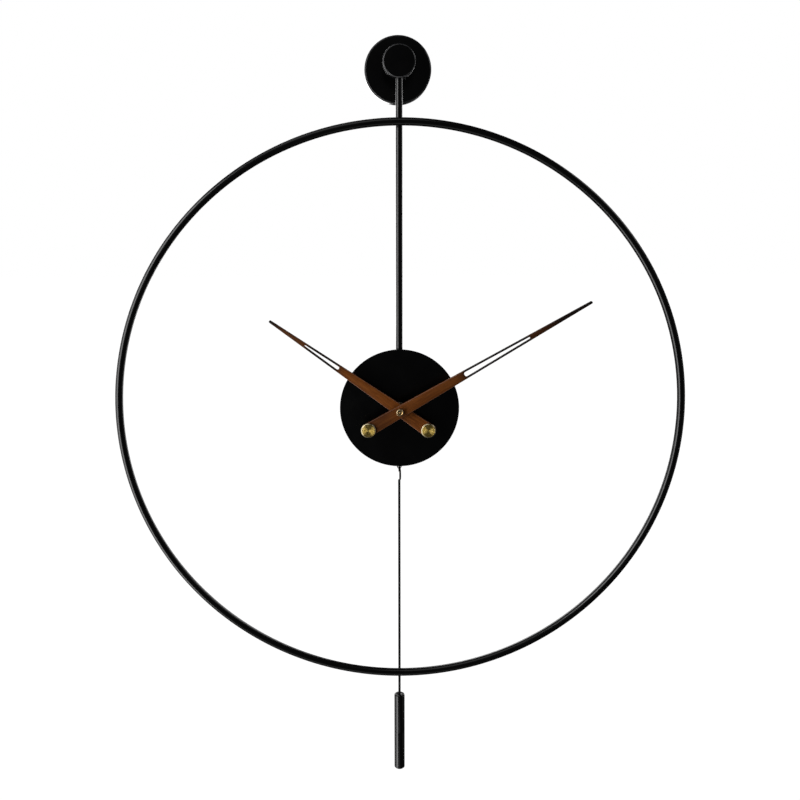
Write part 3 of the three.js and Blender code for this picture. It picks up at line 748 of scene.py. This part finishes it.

# painted highlight: the studs' rims get a paler, brighter copy of the brass, standing in for the reflections they catch
# all round
STUD_RIM_HIGHLIT = metal("stud_rim_highlit", (0.72, 0.60, 0.36), (0.92, 0.80, 0.54), (0.20, 0.30), grain=1400)
HANDS = (
    ("minute_hand", "minute_works", 59.88, -13, -16.5, 226.9, 14.2, 2.6, (77.2, 154.3), 1.9, 3.7, -38, WALNUT_MIN),
    ("hour_hand", "hour_works", -54.8, -6, -9.5, 164.9, 14.8, 2.6, (77.4, 120.4), 2, 4.5, -36.6, WALNUT_HOUR),
)
for name, body, ang, yb, yf, length, w0, w1, slots, rail, bore, stud, wood in HANDS:
    me = curve_mesh(name + "_wood", hand_shape(-42.5, length, w0, w1, slots, rail, bore, stud), (yb - yf) * MM, 0.5 * MM, 2)
    finish_mesh(name + "_wood", me, wood, body, name, 30, pointing(ang, (yb + yf) / 2))
    # turned stud: flat face, 45 degree rim, short stem
    front = yf - 0.3
    brass = turned_brass(name + "_stud_brass", (ang * 0.001, 0))
    prof = [(0, yb), (2.0, yb), (2.0, front), (7.6, front), (7.6, front - 1.2), (6.75, front - 2.0), (0.35, front - 2.0), (0, front - 1.93)]
    a = math.radians(ang)
    place = Matrix.Translation((O.x + math.sin(a) * stud * MM, O.y, O.z + math.cos(a) * stud * MM)) @ FRONT
    o = turned(name + "_stud_turned", prof, [brass, STUD_RIM_HIGHLIT], body, name + "_stud", seg=160, radii=[0, 0.2, 0, 0.12, 0.12, 0.12, 0, 0], place=place, sharp=22)
    # the rim faces take the painted-highlight brass
    for f in o.data.polygons:
        if math.hypot(f.center.x, f.center.y) > 6.70 * MM:
            f.material_index = 1

turned("hour_hand_collet_ring", [(2.9, -5.1), (6, -5.1), (6, -5.7), (4.2, -5.7), (4.2, -9.3), (2.9, -9.3)], BRASS, "hour_works", "hour_hand_collet", seg=72, closed=True, radii=0.1)
turned("minute_hand_collet_ring", [(1.8, -12.1), (5.4, -12.1), (5.4, -12.7), (3.4, -12.7), (3.4, -16.3), (1.8, -16.3)], BRASS, "minute_works", "minute_hand_collet", seg=72, closed=True, radii=0.1)
CAP_BRASS = turned_brass("cap_brass", (0, 0), pitch=0.00025, lo=(0.62, 0.44, 0.22), hi=(0.92, 0.72, 0.42), rough=(0.20, 0.30), aniso=0.3)
turned("cap_nut_turned", [(0, -19.2), (1.45, -19.2), (1.45, -16.8), (3.75, -16.8), (3.75, -19.6), (3.15, -20.3), (2.45, -20.3), (2.1, -19.35), (0.85, -19.35), (0.7, -19.75), (0, -19.8)],
       CAP_BRASS, "minute_works", "cap_nut", seg=96, radii=[0, 0, 0, 0.15, 0.25, 0.3, 0.2, 0.15, 0.05, 0.1, 0], sharp=30)

# ------------------------------------------------------------------ pendulum
PY = 16
tube_along("pendulum_hook_wire", [(0, 13.2, -71.2), (0, 13.1, -69.6), (0, 13.6, -68.2), (0, 14.9, -67.6), (0, 16, -67.6), (0, 17.4, -67.6),
                                  (0.1, 18.7, -68.3), (0.5, 19.1, -69.8), (0.9, 18.6, -72), (1.0, 17.4, -74.6), (1.0, 16.3, -77), (1.0, 16, -79.2), (0.9, 16, -81.2)],
           [0.96, 0.98, 1.0, 1.0, 1.0, 1.0, 1.0, 1.02, 1.05, 1.05, 1.05, 1.05, 1.0], WIRE, "pendulum", "pendulum_hook", seg=18, steps=6)
tube_along("pendulum_rod_wire", [(0, PY, -82.5), (0, PY, -335)], 1.3, BLACK_WIRE, "pendulum", "pendulum_rod", seg=24)
# bob: two halves screwed together, a fine joint line at mid height
BT, BL, BR = -330.3, -419.2, 5.75
H = BT - BL
prof = [(0, 0), (BR - 0.9, 0), (BR, 0.9), (BR, H / 2 - 0.14), (BR - 0.2, H / 2 - 0.05), (BR - 0.2, H / 2 + 0.05), (BR, H / 2 + 0.14), (BR, H - 0.9), (BR - 0.9, H), (1.6, H), (1.6, H - 6.3), (0, H - 6.3)]
pts = fillet([(r * MM, h * MM) for r, h in prof], [v * MM for v in (0, 0.3, 0.4, 0.05, 0, 0, 0.05, 0.4, 0.3, 0.15, 0, 0)], 4)
me = lathe_mesh("pendulum_bob_bar", pts, 96)
finish_mesh("pendulum_bob_bar", me, BLACK, "pendulum", "pendulum_bob", 30, Matrix.Translation((O.x, O.y + PY * MM, O.z + BL * MM)))

half = [(3.0, -38), (2.7, -56), (2.8, -66), (2.6, -67.2), (2.1, -68.3), (1.5, -69.2), (0.8, -69.8), (0, -69.9)]
lever = [(-x, z) for x, z in half] + [(x, z) for x, z in reversed(half[:-1])]
top = [(3.0 * math.cos(t), -38 + 3.0 * math.sin(t)) for t in [PI * k / 12 for k in range(1, 12)]]
outer = [(x * MM, z * MM) for x, z in lever + top]
me = curve_mesh("pendulum_lever_leaf", [outer, circle_pts(1.3 * MM, 24, 0, -38 * MM), circle_pts(1.35 * MM, 24, 0, -67.6 * MM)], 1.0 * MM, 0.15 * MM, 2)
finish_mesh("pendulum_lever_leaf", me, ABS, "pendulum_lever", "pendulum_lever", 30, Matrix.Translation((O.x, O.y + PY * MM, O.z)) @ FRONT)
turned("pendulum_lever_boss", [(1.3, 13.5), (3.0, 13.5), (3.0, 18.5), (1.3, 18.5)], ABS, "pendulum_lever", (), z=-38, seg=48, closed=True, radii=0.25)
turned("pendulum_magnet_disc", [(0, 12.6), (3.6, 12.6), (3.6, 15.2), (0, 15.2)], MAGNET, "pendulum_lever", "pendulum_magnet", z=-50, seg=64, radii=0.25)

# ------------------------------------------------------------------ movement, seen from the sides and the back
case = keep("movement_case", ABS_CASE, bevel=0.35)
lid = keep("movement_lid", ABS_LID, bevel=0.3)
for n, m in (("battery_contact_positive", STEEL), ("battery_contact_negative", STEEL), ("circuit_board", BOARD), ("stator", STEEL)):
    keep(n, m, bevel=0.08)
for n in ("hour_wheel", "minute_arbor", "motion_work_wheel", "third_wheel", "fourth_wheel", "setting_knob"):
    keep(n, ACETAL, bevel=0.05)
keep("rotor", MAGNET, bevel=0.1)
keep("drive_coil", COPPER, bevel=0.15)
keep("pendulum_coil", COPPER_FLAT, bevel=0.15)
keep("pendulum_pivot_pin", STEEL, bevel=0.1)

LID_BACK = 23.4 + 0.3 + 1.2


def plate(name, outlines, y0, y1, bevel, mat, body=FRAME, replaces=(), x=0, z=0):
    me = curve_mesh(name, [[(px * MM, pz * MM) for px, pz in o] for o in outlines], (y1 - y0) * MM, bevel * MM, 2)
    return finish_mesh(name, me, mat, body, replaces, 30, at(x, (y0 + y1) / 2, z))


def rounded_rect(x0, x1, z0, z1, r, n=6):
    out = []
    for cx, cz, a0 in ((x1 - r, z1 - r, 0), (x0 + r, z1 - r, PI / 2), (x0 + r, z0 + r, PI), (x1 - r, z0 + r, 1.5 * PI)):
        for k in range(n + 1):
            a = a0 + k / n * PI / 2
            out.append((cx + r * math.cos(a), cz + r * math.sin(a)))
    return out


# moulded rim round the battery window, raised bearing boss, ribs and the two clip tongues
plate("lid_window_rim", [rounded_rect(-27.0, 27.0, -31.3, -14.3, 1.6), rounded_rect(-25.5, 25.5, -30.0, -15.6, 0.8)], LID_BACK - 0.05, LID_BACK + 0.75, 0.25, ABS_LID)
plate("lid_centre_boss", [circle_pts(9.5, 64), circle_pts(8.1, 64)], LID_BACK - 0.05, LID_BACK + 0.6, 0.2, ABS_LID, z=3)
plate("lid_inner_boss", [circle_pts(3.2, 48), circle_pts(1.2, 32)], LID_BACK - 0.05, LID_BACK + 0.45, 0.15, ABS_LID, z=3)
for i, zz in enumerate((16.0, 18.6, 21.2)):
    plate(f"lid_vent_rib_{i}", [rounded_rect(-12, 12, zz, zz + 1.1, 0.5)], LID_BACK - 0.05, LID_BACK + 0.5, 0.15, ABS_LID)
for i, (x0, x1) in enumerate(((-24.5, -18.5), (18.5, 24.5))):
    plate(f"lid_clip_{i}", [rounded_rect(x0, x1, 20.2, 26.6, 0.6)], LID_BACK - 0.05, LID_BACK + 0.9, 0.25, ABS_LID)
plate("lid_pendulum_rib", [rounded_rect(-10, 10, -54.0, -36.5, 3.0), rounded_rect(-8.8, 8.8, -52.8, -37.7, 2.0)], LID_BACK - 0.05, LID_BACK + 0.5, 0.2, ABS_LID)

# knurled setting wheel over the arbor's plain disc
ribs = []
for k in range(120):
    a = 2 * PI * k / 120
    ribs.append(((5.35 if k % 3 else 5.05) * math.cos(a), (5.35 if k % 3 else 5.05) * math.sin(a)))
plate("setting_knob_wheel", [ribs], 25.35, 28.75, 0.22, ACETAL, body="setting_knob", x=22.39, z=6)
plate("setting_knob_dimple", [circle_pts(3.6, 48), circle_pts(2.9, 48)], 28.7, 29.0, 0.1, ACETAL, body="setting_knob", x=22.39, z=6)

# battery: steel can with a plain sleeve, rolled ends and a button
BAT = Matrix.Translation((O.x, O.y + 15.5 * MM, O.z - 22.8 * MM)) @ Matrix.Rotation(PI / 2, 4, "Y")


def along_x(name, prof, mats, radii, replaces=()):
    pts = fillet([(r * MM, x * MM) for r, x in prof], [v * MM for v in radii], 4)
    me = lathe_mesh(name, pts, 96)
    return finish_mesh(name, me, mats, FRAME, replaces, 30, BAT)


along_x("battery_can", [(0, -24.3), (6.5, -24.3), (6.9, -23.7), (6.9, 23.2), (6.4, 23.8), (3.6, 23.8), (3.4, 23.9), (2.6, 23.9), (2.6, 25.1), (0, 25.1)],
        CAN, [0, 0.3, 0.3, 0.3, 0.4, 0.1, 0.1, 0.1, 0.35, 0], "battery")
along_x("battery_sleeve", [(6.3, -24.0), (6.85, -24.0), (7.1, -23.7), (7.1, 11.0), (6.92, 11.0)], SLEEVE, [0, 0.1, 0.15, 0, 0], ())
along_x("battery_sleeve_band", [(6.92, 11.0), (7.1, 11.0), (7.1, 23.2), (6.85, 23.6), (6.3, 23.6)], SLEEVE_BAND, [0, 0, 0.15, 0.1, 0], ())

# ------------------------------------------------------------------ stage
m, nt, b = new_material("floor_pale")
c = coords(nt)
nz = noise(nt, c, 3.0, 3.0, 0.5)
col = ramp(nt, nz, "Fac", [(0.3, (0.985, 0.985, 0.985)), (0.7, (1.0, 1.0, 1.0))])
em = nt.nodes.new("ShaderNodeEmission")
nt.links.new(col.outputs["Color"], em.inputs["Color"])
em.inputs["Strength"].default_value = 1.05
nt.links.new(em.outputs["Emission"], nt.nodes["Material Output"].inputs["Surface"])
bpy.ops.mesh.primitive_plane_add(size=30, location=(0, 0, -1.35))
floor = bpy.context.object
floor.name = "floor"
floor.data.materials.append(m)
floor.visible_diffuse = False
floor.visible_glossy = False
floor.visible_transmission = False
floor.visible_shadow = False

world = bpy.data.worlds.new("studio")
scene.world = world
world.use_nodes = True
wn = world.node_tree
bg = wn.nodes["Background"]
bg.inputs["Color"].default_value = (1, 1, 1, 1)
bg.inputs["Strength"].default_value = 0.035
bg2 = wn.nodes.new("ShaderNodeBackground")
bg2.inputs["Color"].default_value = (1, 1, 1, 1)
bg2.inputs["Strength"].default_value = 1.0
lp = wn.nodes.new("ShaderNodeLightPath")
mx = wn.nodes.new("ShaderNodeMixShader")
wn.links.new(lp.outputs["Is Camera Ray"], mx.inputs[0])
wn.links.new(bg.outputs[0], mx.inputs[1])
wn.links.new(bg2.outputs[0], mx.inputs[2])
wn.links.new(mx.outputs[0], wn.nodes["World Output"].inputs["Surface"])


def softbox(name, loc, target, w, h, radiance, color=(1, 1, 1), spread=180, glossy=True):
    l = bpy.data.lights.new(name, "AREA")
    l.shape = "RECTANGLE"
    l.size, l.size_y = w, h
    l.energy = radiance * PI * w * h
    l.color = color
    l.spread = math.radians(spread)
    o = bpy.data.objects.new(name, l)
    scene.collection.objects.link(o)
    o.location = loc
    d = Vector(target) - Vector(loc)
    o.rotation_euler = d.to_track_quat("-Z", "Y").to_euler()
    o.visible_camera = False
    o.visible_glossy = glossy
    return o


C0 = Vector((0, O.y, O.z))


def at_bearing(deg, dist, dz):
    """a place seen deg to the left of the clock's own front axis"""
    a = math.radians(deg)
    return C0 + Vector((-math.sin(a) * dist, -math.cos(a) * dist, dz))


# one tall soft source on the left, the nearer part of it the brighter, and weak light from above and behind
softbox("key_left", at_bearing(55, 1.55, -0.25), C0 + Vector((0, 0, -0.25)), 0.80, 2.9, 4.6)
softbox("key_left_far", at_bearing(92, 1.30, -0.25), C0 + Vector((0, 0, -0.25)), 1.0, 2.9, 0.85)
softbox("right_soft", at_bearing(-88, 1.60, -0.15), C0 + Vector((0, 0, -0.15)), 1.3, 2.4, 0.11)
softbox("right_high", at_bearing(-98, 1.35, 1.0), C0 + Vector((0, 0, 0.1)), 0.9, 0.7, 0.9)
softbox("top_soft", C0 + Vector((-0.5, -0.55, 1.45)), C0, 1.5, 1.0, 0.6)
softbox("low_soft", C0 + Vector((-0.4, -0.45, -1.25)), C0, 1.5, 1.0, 0.3)
softbox("front_fill", C0 + Vector((0.9, -2.1, 0.6)), C0, 1.2, 0.8, 0.5, glossy=False)
softbox("back_fill", C0 + Vector((-0.7, 1.8, 0.5)), C0, 1.4, 1.6, 3.2)
softbox("back_right", at_bearing(-148, 1.70, 0.1), C0, 0.9, 2.4, 2.6)

# ------------------------------------------------------------------ camera
cam = bpy.data.cameras.new("camera")
cam.sensor_width = 36
cam.sensor_fit = "HORIZONTAL"
cam.lens = 935.7168 / 800 * 36
cam.shift_x = (400 - 369.015) / 800
cam.shift_y = (346.374 - 400) / 800
cam.clip_start = 0.05
cam.clip_end = 100
camera = bpy.data.objects.new("camera", cam)
scene.collection.objects.link(camera)
right = Vector((0.9999652900, 0.0058385253, -0.0059439324))
up = Vector((0.0050105006, 0.1485899224, 0.9888862067))
fwd = Vector((-0.0066568455, 0.9888816646, -0.1485555109))
loc = Vector((-0.0253255, -0.9660831, 0.2119577)) + O
mtx = Matrix.Identity(4)
for i in range(3):
    mtx[i][0], mtx[i][1], mtx[i][2], mtx[i][3] = right[i], up[i], -fwd[i], loc[i]
camera.matrix_world = mtx
scene.camera = camera
scene.view_settings.view_transform = "Standard"
scene.view_settings.look = "None"
scene.view_settings.exposure = 0
scene.view_settings.gamma = 1
